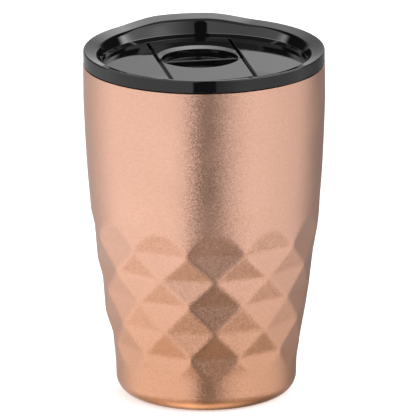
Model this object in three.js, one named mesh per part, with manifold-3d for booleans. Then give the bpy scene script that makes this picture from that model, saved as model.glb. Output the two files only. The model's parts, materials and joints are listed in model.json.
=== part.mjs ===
// An insulated steel tumbler with a push-on lid, whose flush slider opens the drinking hole.
// Millimetres, +Z up. The origin is the centre of the base underside, and +Y is the drinking side,
// where the lid's rim rises. The cup is a vacuum vessel: a faceted outer shell, an inner liner
// welded to it at the mouth, and a closing plate with its getter under a base cover.
import * as THREE from "three";
import { mergeVertices } from "three/addons/utils/BufferGeometryUtils.js";
import Module from "manifold-3d";

const wasm = await Module();
wasm.setup();

// ---------- Driving dimensions ----------

const FIT_GAP = 0.3; // clearance between pieces that touch or are joined
const CUP_SIDES = 36; // sides of the cup's round surfaces
const LID_SIDES = 56; // sides of the lid's round surfaces
const SMALL_SIDES = 20; // sides of small round pieces

// Cup body
const MOUTH_Z = 120.1;
const BODY_R = 42.7;
const SHOULDER_Z = 107; // straight above this height
const WAIST = [40.65, 70]; // radius and height on the smooth taper, above the facets
const TAPER = [[41.5, 81], [42.2, 94]]; // between the waist and the shoulder
const FOOT = [32, 8.65]; // radius and height where the plain foot starts
const FOOT_TOP = [32.3, 13];
const BASE_CORNER = 6.4;
const SHELL_WALL = 0.6;
const HEM_R = 23; // inner radius of the shell's turned-up edge underneath
const HEM_TOP = 3.2;

// Facets: rows of twelve vertices, from the top, each row turned half a step from the next
const FACETS_ROUND = 12;
const FACET_ROWS = [
  [39.9, 59.6],
  [38.5, 50.2],
  [37.2, 40.7],
  [35.8, 30.3],
  [33.7, 20.55],
];
const FACET_TURN = 10.5; // degrees from -Y to a vertex of the top row
const ARCH_TOP = [40.53, 68]; // where the upper facets' arches end on the taper
const ARCH_FOOT = [32.15, 11.5]; // where the lower facets run out on the foot

// Inner liner
const LINER_WALL = 0.5;
const LINER_FLOOR_Z = 9;
const LINER_CORNER = 5;
const LINER_LOW = [28.5, 14];
const LINER_MIDDLE = [35.2, 66];
const LINER_HIGH = [38.6, 104];
const SEAT_R = 39.3; // straight bore that the lid's gasket seals in
const SEAT_Z = 107;
const LIP_R = 1.6; // roll of the liner's lip

// Base
const PLATE_Z = 2.2; // underside of the closing plate
const PLATE_WALL = 0.6;
const DIMPLE_R = 3.5;
const DIMPLE_RISE = 1;
const COVER_Z = 0.9;
const COVER_WALL = 0.6;
const GETTER_X = 12;
const GETTER_R = 4;
const GETTER_HEIGHT = 2;

// Lid
const LID_R = 42.6;
const LID_SEAT_Z = MOUTH_Z + FIT_GAP;
const RIM_TOP = 125.3;
const RIM_RISE = 1.5; // extra height at the drinking side
const RIM_LEAN = 0.4; // the rim's top also leans: this much up at +Y and down at -Y
const RISE_FLAT = 11; // degrees each side of +Y at full rise
const RISE_END = 37; // degrees each side of +Y where the rise has gone
const RISE_ROOT_Z = 121.5; // the rise stretches only what is above this
const RIM_FALL = 15; // degrees by which the rim's top slopes inwards
const RIM_INNER_R = 38.1;
const WALL_TOP = [36.15, 121.2]; // where the basin's flared wall meets its upright foot
const WALL_FOOT_R = 35.8;
const FLOOR_Z = 119.7;
const FLOOR_WALL = 1.6;
const SPIGOT_R = 38.7;
const SKIRT_R = 36.9;
const SKIRT_WALL = 1.2;
const SKIRT_Z = 115.5;

// Slider channel across the lid, along Y
const CHANNEL_HALF = 15.35;
const CHANNEL_END_R = 35.6;
const CHANNEL_FLOOR_Z = 114.6;
const CHANNEL_BASE_Z = 113.3;
const CHANNEL_OUTER_HALF = 18;
const TONGUE_SLOT_HALF = 16.6;
const TONGUE_SLOT_Z = [116.7, 118.4];

// Slider
const TRAVEL = 13;
const SLIDER_HALF = 14.3;
const SLIDER_END_R = 35.3;
const SLIDER_BASE_Z = 117;
const TONGUE_HALF = 16.3;
const TONGUE_TOP_Z = 118.1;
const THUMB_Y = 8.5;
const THUMB_R = 13.6;
const THUMB_DEPTH = 3.5;
const THUMB_WALL = 1;
const BEVEL_Y = 10.2;
const BEVEL_R = 15.1;
const BEVEL_DEPTH = 0.5;
const BEVEL_WIDTH = 3.6;
const RIB_Y = 9.6;
const RIB_WIDTH = 1.6;
const RIB_DROP = 1.1; // the rib's top lies this far under the slider's face

// Drinking hole, its duct and its seal: slots with round ends, [length, width], along X
const DRINK_Y = 29.6;
const DRINK_SLOT = [13, 6.4];
const DUCT_SLOT = [14, 7];
const DUCT_OUTER = [16.4, 9.4];
const PAD_SLOT = [16, 9];
const STUD_R = 2;
const VENT_Y = -24;
const VENT_R = 1;
const VENT_DUCT_R = 2.4;

// Plug, the lower half of the lid
const PLUG_R = 38.6;
const PLUG_FOOT_R = 38.2;
const PLUG_Z = 107;
const PLUG_WALL = 1.4;
const PLUG_TOP_Z = 117.8;
const PLUG_BORE_R = 35.5;
const GROOVE_R = 36.9;
const GROOVE_Z = [109, 112.6];
const GASKET_LIP_R = SEAT_R - FIT_GAP;

// ---------- Looks ----------

const LOOKS = {
  copper_paint: { color: 0xd9a084, roughness: 0.42, metalness: 0.85 },
  steel: { color: 0xb9babb, roughness: 0.32, metalness: 1 },
  foil: { color: 0xd8d9dc, roughness: 0.25, metalness: 1 },
  getter: { color: 0x55534f, roughness: 0.9, metalness: 0.2 },
  solder: { color: 0x8d8f92, roughness: 0.5, metalness: 0.1 },
  black_plastic: { color: 0x0b0b0c, roughness: 0.08, metalness: 0 },
  clear_silicone: { color: 0xd9dad6, roughness: 0.6, metalness: 0 },
  black_silicone: { color: 0x1a1a1b, roughness: 0.7, metalness: 0 },
};

// ---------- Helpers ----------

// A closed geometry as a solid that can be joined and cut.
function toSolid(geometry) {
  const bare = geometry.clone();
  bare.deleteAttribute("normal");
  bare.deleteAttribute("uv");
  const merged = mergeVertices(bare, 1e-4);
  const mesh = new wasm.Mesh({
    numProp: 3,
    vertProperties: new Float32Array(merged.attributes.position.array),
    triVerts: new Uint32Array(merged.index.array),
  });
  return new wasm.Manifold(mesh);
}

// A solid back as a geometry.
function toGeometry(solid) {
  const mesh = solid.getMesh();
  const geometry = new THREE.BufferGeometry();
  const positions = new THREE.BufferAttribute(mesh.vertProperties, 3);
  geometry.setAttribute("position", positions);
  geometry.setIndex(new THREE.BufferAttribute(mesh.triVerts, 1));
  geometry.computeVertexNormals();
  return geometry;
}

// A path of [radius, height] points turned about Z. The path runs anticlockwise in that plane.
function turned(path, sides, curveSteps = 2) {
  const geometry = new THREE.LatheGeometry(path.getPoints(curveSteps), sides);
  return geometry.rotateX(Math.PI / 2);
}

// A shape in the XY plane pulled up from one height to another.
function raised(shape, low, high, curveSegments = 10) {
  const depth = high - low;
  const geometry = new THREE.ExtrudeGeometry(shape, {
    depth,
    bevelEnabled: false,
    curveSegments,
  });
  return geometry.translate(0, 0, low);
}

// A slot along X with round ends, centred on the Y axis.
function slotShape([length, width], centreY) {
  const half = (length - width) / 2;
  const shape = new THREE.Shape();
  shape.absarc(half, centreY, width / 2, -Math.PI / 2, Math.PI / 2);
  shape.absarc(-half, centreY, width / 2, Math.PI / 2, (3 * Math.PI) / 2);
  shape.closePath();
  return shape;
}

function discShape(radius, centreY) {
  const shape = new THREE.Shape();
  shape.absarc(0, centreY, radius, 0, 2 * Math.PI);
  return shape;
}

// A strip along Y between two arcs of one radius: the back arc is centred on the axis, and the
// front arc's centre lies frontShift further back.
function stripShape(half, endRadius, frontShift = 0) {
  const corner = Math.acos(half / endRadius);
  const shape = new THREE.Shape();
  shape.absarc(0, 0, endRadius, corner, Math.PI - corner);
  shape.absarc(0, frontShift, endRadius, Math.PI + corner, 2 * Math.PI - corner);
  shape.closePath();
  return shape;
}

function named(name, shape, look) {
  const geometry = shape.isBufferGeometry ? shape : toGeometry(shape);
  const mesh = new THREE.Mesh(geometry, new THREE.MeshStandardMaterial(LOOKS[look]));
  mesh.name = name;
  return mesh;
}

// ---------- Cup ----------

// The smooth body's outline from the foot to the shoulder, set in by a wall thickness. Beside the
// facets it stands a little proud, so that only their planes shape the shell there.
function followBody(path, inset) {
  const proud = 0.15;
  const beside = [FACET_ROWS[4], FACET_ROWS[2], FACET_ROWS[0]].map(([r, z]) => [r + proud, z]);
  const points = [FOOT, FOOT_TOP, ...beside, WAIST, ...TAPER, [BODY_R, SHOULDER_Z]];
  const side = new THREE.SplineCurve(points.map(([r, z]) => new THREE.Vector2(r - inset, z)));
  for (const point of side.getPoints(16)) path.lineTo(point.x, point.y);
}

function bodySolid() {
  const outline = new THREE.Path();
  outline.moveTo(0, 0);
  outline.lineTo(FOOT[0] - BASE_CORNER, 0);
  outline.absarc(FOOT[0] - BASE_CORNER, BASE_CORNER, BASE_CORNER, -Math.PI / 2, 0);
  followBody(outline, 0);
  outline.lineTo(BODY_R, MOUTH_Z);
  outline.lineTo(0, MOUTH_Z);
  return toSolid(turned(outline, CUP_SIDES));
}

// What the shell is hollowed by: the vacuum space, open at the mouth and inside the hem.
function bodyHollow() {
  const past = 1; // how far the cut runs past the shell's ends
  const outline = new THREE.Path();
  outline.moveTo(0, -past);
  outline.lineTo(HEM_R, -past);
  outline.lineTo(HEM_R, HEM_TOP);
  outline.lineTo(HEM_R + SHELL_WALL, HEM_TOP);
  outline.lineTo(HEM_R + SHELL_WALL, SHELL_WALL);
  outline.lineTo(FOOT[0] - BASE_CORNER, SHELL_WALL);
  const corner = BASE_CORNER - SHELL_WALL;
  outline.absarc(FOOT[0] - BASE_CORNER, BASE_CORNER, corner, -Math.PI / 2, 0);
  followBody(outline, SHELL_WALL);
  outline.lineTo(BODY_R - SHELL_WALL, MOUTH_Z + past);
  outline.lineTo(0, MOUTH_Z + past);
  return toSolid(turned(outline, CUP_SIDES));
}

// A cage of flat facets round the body: staggered rings joined by triangles, with the end facets'
// planes carried on upwards and downwards until they have left the smooth body.
function facetCage(inset) {
  const half = Math.PI / FACETS_ROUND;
  const flatToVertex = 1 / Math.cos(half);
  const [topR, topZ] = FACET_ROWS[0];
  const flare = (ARCH_TOP[0] - topR / flatToVertex) / (ARCH_TOP[1] - topZ);
  const highZ = MOUTH_Z + 10;
  const highR = topR + flare * flatToVertex * (highZ - topZ);
  const rings = [
    { radius: highR, z: highZ, stagger: 0 },
    ...FACET_ROWS.map(([radius, z], row) => ({ radius, z, stagger: row % 2 })),
    { radius: ARCH_FOOT[0] * flatToVertex, z: ARCH_FOOT[1], stagger: 0 },
    { radius: BODY_R, z: -5, stagger: 0 },
  ];
  const positions = [0, 0, rings[0].z];
  for (const { radius, z, stagger } of rings) {
    for (let i = 0; i < FACETS_ROUND; i++) {
      const turn = THREE.MathUtils.degToRad(FACET_TURN) + half * (2 * i + stagger);
      positions.push((radius - inset) * Math.sin(turn), -(radius - inset) * Math.cos(turn), z);
    }
  }
  positions.push(0, 0, rings.at(-1).z);
  const vertex = (ring, i) => 1 + ring * FACETS_ROUND + (i % FACETS_ROUND);
  const last = rings.length - 1;
  const indices = [];
  for (let i = 0; i < FACETS_ROUND; i++) {
    indices.push(0, vertex(0, i), vertex(0, i + 1));
    for (let ring = 0; ring < last; ring++) {
      // Where the lower ring starts half a step behind the upper one, its next vertex is used.
      const skip = rings[ring].stagger > rings[ring + 1].stagger ? 1 : 0;
      const [a, b] = [vertex(ring, i), vertex(ring, i + 1)];
      const [c, d] = [vertex(ring + 1, i + skip), vertex(ring + 1, i + 1 + skip)];
      indices.push(a, c, b, b, c, d);
    }
    indices.push(positions.length / 3 - 1, vertex(last, i + 1), vertex(last, i));
  }
  const geometry = new THREE.BufferGeometry();
  geometry.setAttribute("position", new THREE.Float32BufferAttribute(positions, 3));
  geometry.setIndex(indices);
  return toSolid(geometry);
}

function outerShell() {
  const outside = bodySolid().intersect(facetCage(0));
  const inside = bodyHollow().intersect(facetCage(SHELL_WALL));
  return outside.subtract(inside);
}

// The liner's side from just above its floor corner to the seat, set out by a wall thickness.
function followLiner(outset) {
  const points = [LINER_LOW, LINER_MIDDLE, LINER_HIGH].map(
    ([radius, height]) => new THREE.Vector2(radius + outset, height),
  );
  return new THREE.SplineCurve(points).getPoints(4);
}

function linerRadius(height, outset) {
  const side = followLiner(outset);
  const above = side.findIndex((point) => point.y >= height);
  const [low, high] = [side[above - 1], side[above]];
  return low.x + ((height - low.y) / (high.y - low.y)) * (high.x - low.x);
}

function innerLiner() {
  const flangeR = BODY_R - SHELL_WALL - FIT_GAP;
  const flangeZ = MOUTH_Z - LINER_WALL;
  const lipX = SEAT_R + LIP_R;
  const lipZ = MOUTH_Z - LIP_R;
  const cornerX = LINER_LOW[0] - LINER_CORNER;
  const cornerZ = LINER_FLOOR_Z + LINER_CORNER;
  const outline = new THREE.Path();
  outline.moveTo(0, LINER_FLOOR_Z - LINER_WALL);
  outline.lineTo(cornerX, LINER_FLOOR_Z - LINER_WALL);
  outline.absarc(cornerX, cornerZ, LINER_CORNER + LINER_WALL, -Math.PI / 2, 0);
  for (const point of followLiner(LINER_WALL)) outline.lineTo(point.x, point.y);
  outline.lineTo(SEAT_R + LINER_WALL, SEAT_Z);
  outline.absarc(lipX, lipZ, LIP_R - LINER_WALL, Math.PI, Math.PI / 2, true);
  outline.lineTo(flangeR, flangeZ);
  outline.lineTo(flangeR, MOUTH_Z);
  outline.lineTo(lipX, MOUTH_Z);
  outline.absarc(lipX, lipZ, LIP_R, Math.PI / 2, Math.PI);
  outline.lineTo(SEAT_R, SEAT_Z);
  for (const point of followLiner(0).reverse()) outline.lineTo(point.x, point.y);
  outline.absarc(cornerX, cornerZ, LINER_CORNER, 0, -Math.PI / 2, true);
  outline.lineTo(0, LINER_FLOOR_Z);
  return turned(outline, CUP_SIDES);
}

// A foil wrap round the liner, which holds back radiated heat.
function radiationFoil() {
  const thickness = 0.2;
  const [low, high] = [20, 100];
  const inner = LINER_WALL + FIT_GAP;
  const between = followLiner(inner).filter(({ y }) => y > low + 1 && y < high - 1);
  const outline = new THREE.Path();
  outline.moveTo(linerRadius(low, inner), low);
  outline.lineTo(linerRadius(low, inner) + thickness, low);
  for (const point of between) outline.lineTo(point.x + thickness, point.y);
  outline.lineTo(linerRadius(high, inner) + thickness, high);
  outline.lineTo(linerRadius(high, inner), high);
  for (const point of between.reverse()) outline.lineTo(point.x, point.y);
  outline.closePath();
  return turned(outline, CUP_SIDES);
}

// The plate that closes the vacuum space, with the pumping hole in its dimple.
function closingPlate() {
  const holeR = 0.8;
  const edgeR = HEM_R - FIT_GAP;
  const flangeTop = HEM_TOP + 0.4;
  const slope = 1;
  const outline = new THREE.Path();
  outline.moveTo(holeR, PLATE_Z + DIMPLE_RISE);
  outline.lineTo(DIMPLE_R, PLATE_Z + DIMPLE_RISE);
  outline.lineTo(DIMPLE_R + slope, PLATE_Z);
  outline.lineTo(edgeR, PLATE_Z);
  outline.lineTo(edgeR, flangeTop);
  outline.lineTo(edgeR - PLATE_WALL, flangeTop);
  outline.lineTo(edgeR - PLATE_WALL, PLATE_Z + PLATE_WALL);
  outline.lineTo(DIMPLE_R + slope, PLATE_Z + PLATE_WALL);
  outline.lineTo(DIMPLE_R, PLATE_Z + DIMPLE_RISE + PLATE_WALL);
  outline.lineTo(holeR, PLATE_Z + DIMPLE_RISE + PLATE_WALL);
  outline.closePath();
  return turned(outline, CUP_SIDES);
}

// The bead of glass solder that seals the pumping hole from below.
function solderBead() {
  const radius = DIMPLE_R - FIT_GAP;
  const top = PLATE_Z + DIMPLE_RISE - FIT_GAP;
  const bulge = 0.7;
  const outline = new THREE.Path();
  outline.moveTo(0, top - bulge);
  outline.quadraticCurveTo(radius * 0.8, top - bulge, radius, top);
  outline.lineTo(0, top);
  return turned(outline, SMALL_SIDES);
}

// The visible disc under the cup, stepped up at its edge.
function baseCover() {
  const edgeR = HEM_R - FIT_GAP;
  const ringR = 17;
  const step = 0.3;
  const outline = new THREE.Path();
  outline.moveTo(0, COVER_Z + step);
  outline.lineTo(ringR, COVER_Z + step);
  outline.lineTo(ringR + step, COVER_Z);
  outline.lineTo(edgeR, COVER_Z);
  outline.lineTo(edgeR, COVER_Z + COVER_WALL);
  outline.lineTo(ringR + step, COVER_Z + COVER_WALL);
  outline.lineTo(ringR, COVER_Z + COVER_WALL + step);
  outline.lineTo(0, COVER_Z + COVER_WALL + step);
  return turned(outline, CUP_SIDES);
}

// A shallow stamped cup on the closing plate that holds the getter.
function getterHolder() {
  const wall = 0.4;
  const floor = PLATE_Z + PLATE_WALL + FIT_GAP;
  const innerR = GETTER_R + FIT_GAP;
  const top = floor + wall + GETTER_HEIGHT * 0.7;
  const outline = new THREE.Path();
  outline.moveTo(0, floor);
  outline.lineTo(innerR + wall, floor);
  outline.lineTo(innerR + wall, top);
  outline.lineTo(innerR, top);
  outline.lineTo(innerR, floor + wall);
  outline.lineTo(0, floor + wall);
  return turned(outline, SMALL_SIDES).translate(GETTER_X, 0, 0);
}

function getterPellet() {
  const bottom = PLATE_Z + PLATE_WALL + FIT_GAP + 0.4 + FIT_GAP;
  const pellet = new THREE.CylinderGeometry(GETTER_R, GETTER_R, GETTER_HEIGHT, SMALL_SIDES);
  return pellet.rotateX(Math.PI / 2).translate(GETTER_X, 0, bottom + GETTER_HEIGHT / 2);
}

// ---------- Lid ----------

// Lifts the rim at the drinking side and leans it, more towards its top.
function raiseRim(geometry) {
  const position = geometry.attributes.position;
  for (let i = 0; i < position.count; i++) {
    const z = position.getZ(i);
    const aside = Math.abs(Math.atan2(position.getX(i), position.getY(i)));
    const degrees = THREE.MathUtils.radToDeg(aside);
    const swell = 1 - THREE.MathUtils.smoothstep(degrees, RISE_FLAT, RISE_END);
    const share = THREE.MathUtils.clamp((z - RISE_ROOT_Z) / (RIM_TOP - RISE_ROOT_Z), 0, 1);
    const lean = (RIM_LEAN * position.getY(i)) / LID_R;
    position.setZ(i, z + (RIM_RISE * swell + lean) * share);
  }
  return geometry;
}

// The lid's round upper half: floor, basin wall, rim, seat, spigot and skirt.
function lidDisc() {
  const underside = FLOOR_Z - FLOOR_WALL;
  const edge = 0.9;
  const crestX = LID_R - edge;
  const crestZ = RIM_TOP - edge;
  const fall = THREE.MathUtils.degToRad(RIM_FALL);
  const slopeEnd = RIM_TOP - (crestX - RIM_INNER_R) * Math.tan(fall);
  const coring = { inner: 39.9, outer: 41.3, top: 123.4 };
  const outline = new THREE.Path();
  outline.moveTo(0, underside);
  outline.lineTo(SKIRT_R - SKIRT_WALL, underside);
  outline.lineTo(SKIRT_R - SKIRT_WALL, SKIRT_Z);
  outline.lineTo(SKIRT_R, SKIRT_Z);
  outline.lineTo(SKIRT_R, underside);
  outline.lineTo(SPIGOT_R, underside);
  outline.lineTo(SPIGOT_R, LID_SEAT_Z);
  outline.lineTo(coring.inner, LID_SEAT_Z);
  outline.lineTo(coring.inner, coring.top);
  outline.lineTo(coring.outer, coring.top);
  outline.lineTo(coring.outer, LID_SEAT_Z);
  outline.lineTo(LID_R, LID_SEAT_Z);
  outline.absarc(crestX, crestZ, edge, 0, Math.PI / 2 + fall);
  outline.lineTo(RIM_INNER_R + 0.8, slopeEnd + 0.8 * Math.tan(fall));
  outline.quadraticCurveTo(RIM_INNER_R, slopeEnd, RIM_INNER_R - 0.4, slopeEnd - 0.8);
  outline.lineTo(WALL_TOP[0] + 0.3, WALL_TOP[1] + 0.5);
  outline.quadraticCurveTo(...WALL_TOP, WALL_TOP[0] - 0.1, WALL_TOP[1] - 0.5);
  outline.lineTo(WALL_FOOT_R, FLOOR_Z);
  outline.lineTo(0, FLOOR_Z);
  return toSolid(raiseRim(turned(outline, LID_SIDES)));
}

function lidShell() {
  const underside = FLOOR_Z - FLOOR_WALL;
  const past = 0.5;
  const trough = stripShape(CHANNEL_OUTER_HALF, SKIRT_R - 0.2);
  const channel = stripShape(CHANNEL_HALF, CHANNEL_END_R);
  const tongueSlot = stripShape(TONGUE_SLOT_HALF, CHANNEL_END_R);
  const joined = lidDisc().add(toSolid(raised(trough, CHANNEL_BASE_Z, underside + past)));
  const cuts = [
    raised(channel, CHANNEL_FLOOR_Z, FLOOR_Z + past),
    raised(tongueSlot, ...TONGUE_SLOT_Z),
    raised(slotShape(DRINK_SLOT, DRINK_Y), CHANNEL_BASE_Z - past, CHANNEL_FLOOR_Z + past),
    raised(discShape(VENT_R, VENT_Y), CHANNEL_BASE_Z - past, CHANNEL_FLOOR_Z + past, 6),
  ];
  return cuts.reduce((body, cut) => body.subtract(toSolid(cut)), joined);
}

// The lid's lower half, which enters the cup: gasket groove outside, duct and vent inside.
function lidPlug() {
  const floorTop = PLUG_Z + PLUG_WALL;
  const ductTop = CHANNEL_BASE_Z - FIT_GAP;
  const past = 0.5;
  const rebateR = SKIRT_R + FIT_GAP;
  const outline = new THREE.Path();
  outline.moveTo(0, PLUG_Z);
  outline.lineTo(PLUG_FOOT_R - PLUG_WALL, PLUG_Z);
  outline.lineTo(PLUG_FOOT_R, PLUG_Z + PLUG_WALL / 2);
  outline.lineTo(PLUG_FOOT_R, GROOVE_Z[0]);
  outline.lineTo(GROOVE_R, GROOVE_Z[0]);
  outline.lineTo(GROOVE_R, GROOVE_Z[1]);
  outline.lineTo(PLUG_R, GROOVE_Z[1]);
  outline.lineTo(PLUG_R, PLUG_TOP_Z);
  outline.lineTo(rebateR, PLUG_TOP_Z);
  outline.lineTo(rebateR, ductTop);
  outline.lineTo(PLUG_BORE_R, ductTop);
  outline.lineTo(PLUG_BORE_R, floorTop);
  outline.lineTo(0, floorTop);
  const ducts = [
    raised(slotShape(DUCT_OUTER, DRINK_Y), PLUG_Z + past, ductTop),
    raised(discShape(VENT_DUCT_R, VENT_Y), PLUG_Z + past, ductTop, 6),
  ];
  const bores = [
    raised(slotShape(DUCT_SLOT, DRINK_Y), PLUG_Z - past, ductTop + past),
    raised(discShape(VENT_R, VENT_Y), PLUG_Z - past, ductTop + past, 6),
  ];
  const cup = toSolid(turned(outline, CUP_SIDES));
  const joined = ducts.reduce((body, duct) => body.add(toSolid(duct)), cup);
  return bores.reduce((body, bore) => body.subtract(toSolid(bore)), joined);
}

// A silicone ring with two lips.
function lidGasket() {
  const innerR = GROOVE_R + FIT_GAP;
  const bodyR = PLUG_FOOT_R;
  const low = GROOVE_Z[0] + FIT_GAP;
  const high = GROOVE_Z[1] - FIT_GAP;
  const middle = (low + high) / 2;
  const outline = new THREE.Path();
  outline.moveTo(innerR, low);
  outline.lineTo(bodyR, low);
  outline.lineTo(GASKET_LIP_R, low + 0.6);
  outline.lineTo(bodyR, low + 1);
  outline.lineTo(bodyR, middle);
  outline.lineTo(GASKET_LIP_R, middle + 0.6);
  outline.lineTo(bodyR, middle + 1);
  outline.lineTo(bodyR, high);
  outline.lineTo(innerR, high);
  outline.closePath();
  return turned(outline, CUP_SIDES);
}

// ---------- Slider ----------

// A round dish with a flat floor and a steep side, which reaches its full radius at the face.
function dish(radius, depth, centreY, past) {
  const outline = new THREE.Path();
  outline.moveTo(0, FLOOR_Z - depth);
  outline.lineTo(radius * 0.86, FLOOR_Z - depth);
  outline.quadraticCurveTo(radius * 0.97, FLOOR_Z - depth, radius, FLOOR_Z);
  outline.lineTo(radius, FLOOR_Z + past);
  outline.lineTo(0, FLOOR_Z + past);
  return toSolid(turned(outline, SMALL_SIDES * 2, 3).translate(0, centreY, 0));
}

function bevelCone() {
  const outline = new THREE.Path();
  outline.moveTo(0, FLOOR_Z - BEVEL_DEPTH);
  outline.lineTo(BEVEL_R - BEVEL_WIDTH, FLOOR_Z - BEVEL_DEPTH);
  outline.lineTo(BEVEL_R, FLOOR_Z);
  outline.lineTo(BEVEL_R, FLOOR_Z + 1);
  outline.lineTo(0, FLOOR_Z + 1);
  return toSolid(turned(outline, SMALL_SIDES * 2).translate(0, BEVEL_Y, 0));
}

function slider() {
  const plate = stripShape(SLIDER_HALF, SLIDER_END_R, TRAVEL);
  const tongues = stripShape(TONGUE_HALF, SLIDER_END_R, TRAVEL);
  const outside = dish(THUMB_R + 0.5, THUMB_DEPTH + THUMB_WALL, THUMB_Y, 0);
  const rib = new THREE.BoxGeometry(2 * THUMB_R - 0.6, RIB_WIDTH, THUMB_DEPTH);
  rib.translate(0, RIB_Y, FLOOR_Z - RIB_DROP - THUMB_DEPTH / 2);
  const stud = raised(discShape(STUD_R + FIT_GAP, DRINK_Y), SLIDER_BASE_Z - 1, 118.5, 6);
  return toSolid(raised(plate, SLIDER_BASE_Z, FLOOR_Z))
    .add(toSolid(raised(tongues, SLIDER_BASE_Z, TONGUE_TOP_Z)))
    .add(outside)
    .subtract(dish(THUMB_R, THUMB_DEPTH, THUMB_Y, 1))
    .subtract(bevelCone())
    .add(toSolid(rib).intersect(dish(THUMB_R + 0.2, THUMB_DEPTH + 0.5, THUMB_Y, 0)))
    .subtract(toSolid(stud));
}

// The silicone pad under the slider that covers the drinking hole, with the stud that holds it.
function sliderSeal() {
  const low = CHANNEL_FLOOR_Z + FIT_GAP;
  const high = SLIDER_BASE_Z - FIT_GAP;
  const pad = toSolid(raised(slotShape(PAD_SLOT, DRINK_Y), low, high, 8));
  return pad.add(toSolid(raised(discShape(STUD_R, DRINK_Y), high - 0.5, 118.2, 6)));
}

// ---------- Assembly ----------

const cup = new THREE.Group();
cup.add(
  named("outer_shell", outerShell(), "copper_paint"),
  named("inner_liner", innerLiner(), "steel"),
  named("radiation_foil", radiationFoil(), "foil"),
  named("closing_plate", closingPlate(), "steel"),
  named("solder_bead", solderBead(), "solder"),
  named("getter_holder", getterHolder(), "steel"),
  named("getter_pellet", getterPellet(), "getter"),
  named("base_cover", baseCover(), "steel"),
);

const lid = new THREE.Group();
lid.add(
  named("lid_shell", lidShell(), "black_plastic"),
  named("lid_plug", lidPlug(), "black_plastic"),
  named("lid_gasket", lidGasket(), "clear_silicone"),
);

const slide = new THREE.Group();
slide.add(
  named("slider", slider(), "black_plastic"),
  named("slider_seal", sliderSeal(), "black_silicone"),
);

const tumbler = new THREE.Group();
tumbler.add(cup, lid, slide);

export default tumbler;
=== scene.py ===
"""The looks of an insulated steel tumbler: a copper-painted faceted cup and a gloss black lid.

Shapes are built in millimetres in the part's frame (+Z up, +Y the drinking side) and scaled to
metres when they are placed. Each one stands for a CAD node and rides on that node's body.
"""

import json
from math import acos, atan2, cos, degrees, hypot, pi, radians, sin, tan

import bpy
import numpy as np
from mathutils import Matrix, Vector

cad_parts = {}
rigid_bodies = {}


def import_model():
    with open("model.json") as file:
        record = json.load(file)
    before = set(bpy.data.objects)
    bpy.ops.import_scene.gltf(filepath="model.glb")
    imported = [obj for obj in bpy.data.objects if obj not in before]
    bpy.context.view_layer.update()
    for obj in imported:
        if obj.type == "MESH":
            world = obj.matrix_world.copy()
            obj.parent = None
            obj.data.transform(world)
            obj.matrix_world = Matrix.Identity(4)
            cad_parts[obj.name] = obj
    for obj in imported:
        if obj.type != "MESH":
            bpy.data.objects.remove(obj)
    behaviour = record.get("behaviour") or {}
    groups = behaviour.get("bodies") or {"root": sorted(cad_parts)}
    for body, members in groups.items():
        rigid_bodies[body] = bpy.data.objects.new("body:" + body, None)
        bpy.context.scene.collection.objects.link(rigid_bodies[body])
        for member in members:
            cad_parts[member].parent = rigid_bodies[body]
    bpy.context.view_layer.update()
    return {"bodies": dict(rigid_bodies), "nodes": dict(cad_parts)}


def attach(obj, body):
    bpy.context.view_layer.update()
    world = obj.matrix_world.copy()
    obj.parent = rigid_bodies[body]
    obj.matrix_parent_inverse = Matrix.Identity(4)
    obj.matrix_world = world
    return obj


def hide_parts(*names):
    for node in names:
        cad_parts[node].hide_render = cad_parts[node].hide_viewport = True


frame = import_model()

# ---------- Dimensions, in millimetres ----------

MM = 0.001
FIT_GAP = 0.3

# Cup body: (radius, height)
MOUTH_Z = 120.1
BODY_R = 42.7
MOUTH_EDGE = 0.04
BAND_Z = 113
SHOULDER_Z = 107
WAIST = (40.65, 70)
TAPER = ((41.5, 81), (42.2, 94))
FOOT = (32, 8.65)
FOOT_TOP = (32.3, 13)
BASE_CORNER = 6.4
SHELL_WALL = 0.6
HEM_R = 23
HEM_TOP = 3.2

# Facets: rows of twelve vertices from the top, each row turned half a step from the next
FACETS_ROUND = 12
FACET_ROWS = ((39.9, 59.6), (38.5, 50.2), (37.2, 40.7), (35.8, 30.3), (33.7, 20.55))
FACET_TURN = radians(10.5)
ARCH_TOP = (40.53, 68)
ARCH_FOOT = (32.15, 11.5)
PROUD = 0.15
SHELL_COLUMNS = 512
FACETED_Z = (9, 72)
ROW_STEP = 0.5
PLAIN_STEP = 2.5
EDGE_SOFTNESS = 0.7

# Liner and base
LINER_WALL = 0.5
LINER_FLOOR_Z = 9
LINER_CORNER = 5
LINER_SIDE = ((28.5, 14), (35.2, 66), (38.6, 104))
SEAT_R = 39.3
SEAT_Z = 107
LIP_R = 1.6
FOIL_Z = (20, 100)
FOIL_WALL = 0.2
CREASE_DEPTH = 0.06
PLATE_Z = 2.2
PLATE_WALL = 0.6
DIMPLE_R = 3.5
COVER_Z = 0.9
COVER_WALL = 0.6
GETTER_X = 12
GETTER_R = 4
GETTER_HEIGHT = 2
GETTER_WALL = 0.4

# Lid. The turned parts of the lid have one flat face inside their middle radius.
MIDDLE_R = 20
LID_R = 42.6
LID_SEAT_Z = MOUTH_Z + FIT_GAP
RIM_TOP = 125.3
RIM_RISE = 1.5
RIM_LEAN = 0.4
RIM_FALL = radians(15)
RIM_INNER_R = 38.1
WALL_TOP = (36.15, 121.2)
WALL_FOOT_R = 35.8
RISE_FLAT = 11
RISE_END = 37
RISE_ROOT_Z = 121.5
FLOOR_Z = 119.7
FLOOR_WALL = 1.6
SPIGOT_R = 38.7
SKIRT_R = 36.9
SKIRT_WALL = 1.2
SKIRT_Z = 115.5
CHANNEL_HALF = 15.35
CHANNEL_END_R = 35.6
CHANNEL_FLOOR_Z = 114.6
CHANNEL_BASE_Z = 113.3
CHANNEL_OUTER_HALF = 18
TONGUE_SLOT_HALF = 16.6
TONGUE_SLOT_Z = (116.7, 118.4)

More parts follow.
